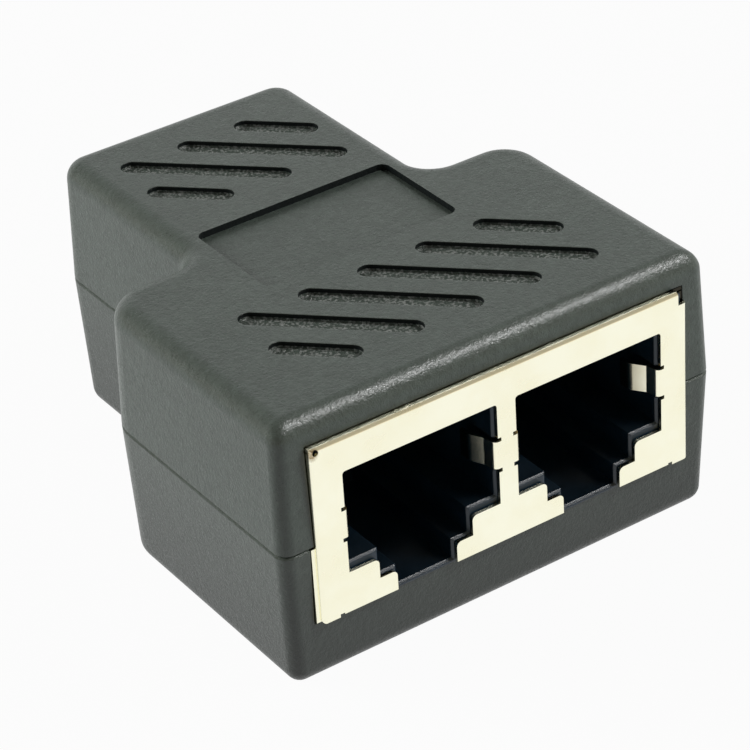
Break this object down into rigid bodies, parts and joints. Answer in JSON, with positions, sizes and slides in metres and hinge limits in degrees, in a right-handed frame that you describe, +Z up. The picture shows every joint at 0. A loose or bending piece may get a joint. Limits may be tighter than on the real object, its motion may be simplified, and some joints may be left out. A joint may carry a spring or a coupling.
{
  "type": "rj45 splitter adapter",
  "caption": "Moulded network splitter: a shielded RJ45 port on the narrow end and two side by side on the wide end.",
  "frame": {"origin": "On the surface that the adapter lies on, under the middle of its length and width.", "axes": "+Z up, +Y towards the single port, the two ports face -Y, +X to the right of them."},
  "size_m": [0.036, 0.0424, 0.0207],
  "materials": {
    "shell": "fine spark-eroded texture, dark grey",
    "jack_plastic": "smooth black moulding",
    "carrier_plastic": "smooth black moulding",
    "shield": "bright pale gold plating on folded sheet",
    "contact": "gold-plated spring wire",
    "board": "green solder mask on glass laminate"
  },
  "bodies": {
    "root": {"upper_shell": "shell", "lower_shell": "shell", "circuit_board": "board", "front_shield": "shield", "front_jack_housing": "jack_plastic", "front_left_contact_carrier": "carrier_plastic", "front_left_contact_1": "contact", "front_left_contact_2": "contact", "front_left_contact_3": "contact", "front_left_contact_4": "contact", "front_left_contact_5": "contact", "front_left_contact_6": "contact", "front_left_contact_7": "contact", "front_left_contact_8": "contact", "front_right_contact_carrier": "carrier_plastic", "front_right_contact_1": "contact", "front_right_contact_2": "contact", "front_right_contact_3": "contact", "front_right_contact_4": "contact", "front_right_contact_5": "contact", "front_right_contact_6": "contact", "front_right_contact_7": "contact", "front_right_contact_8": "contact", "rear_shield": "shield", "rear_jack_housing": "jack_plastic", "rear_contact_carrier": "carrier_plastic", "rear_contact_1": "contact", "rear_contact_2": "contact", "rear_contact_3": "contact", "rear_contact_4": "contact", "rear_contact_5": "contact", "rear_contact_6": "contact", "rear_contact_7": "contact", "rear_contact_8": "contact"}
  },
  "joints": []
}
